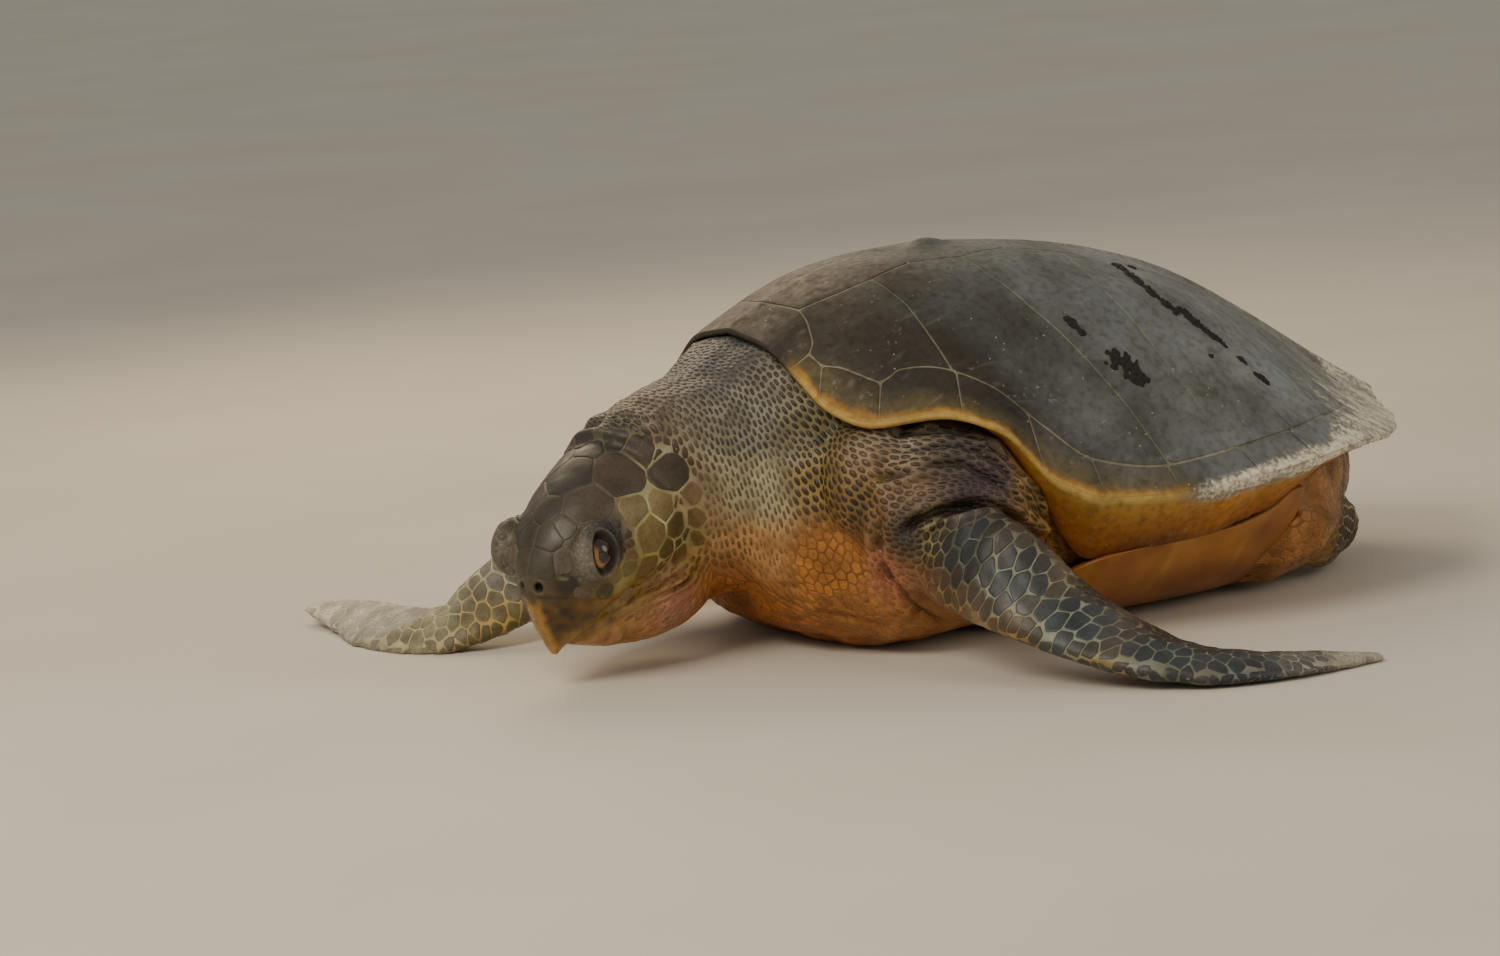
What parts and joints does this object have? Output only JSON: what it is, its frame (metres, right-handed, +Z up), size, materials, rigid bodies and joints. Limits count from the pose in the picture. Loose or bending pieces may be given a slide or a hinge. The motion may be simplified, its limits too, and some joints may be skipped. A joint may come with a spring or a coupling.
{
  "type": "olive ridley sea turtle",
  "caption": "Life-size still model of an adult sea turtle resting on its belly, head low and turned to its left, front flippers spread on the ground.",
  "frame": {"origin": "on the floor, under the centre of the animal's bounding box", "axes": "+Z up, -Y the way the shell faces, +X the animal's left side"},
  "size_m": [0.9136, 0.8932, 0.3182],
  "materials": {
    "shell": "satin, weathered keratin plates",
    "plastron": "satin keratin plates",
    "skin": "satin scaly skin",
    "throat": "soft wrinkled skin",
    "horn": "semi-gloss horn",
    "eye": "wet gloss"
  },
  "bodies": {
    "root": {"carapace": "shell", "plastron": "plastron", "trunk": "skin", "neck": "skin", "head": "skin", "jaw": "throat", "beak_upper": "horn", "beak_lower": "horn", "eye_left": "eye", "eye_right": "eye", "front_flipper_left_arm": "skin", "front_flipper_left_blade": "skin", "front_flipper_right_arm": "skin", "front_flipper_right_blade": "skin", "hind_flipper_left": "skin", "hind_flipper_right": "skin", "tail": "skin"}
  },
  "joints": []
}
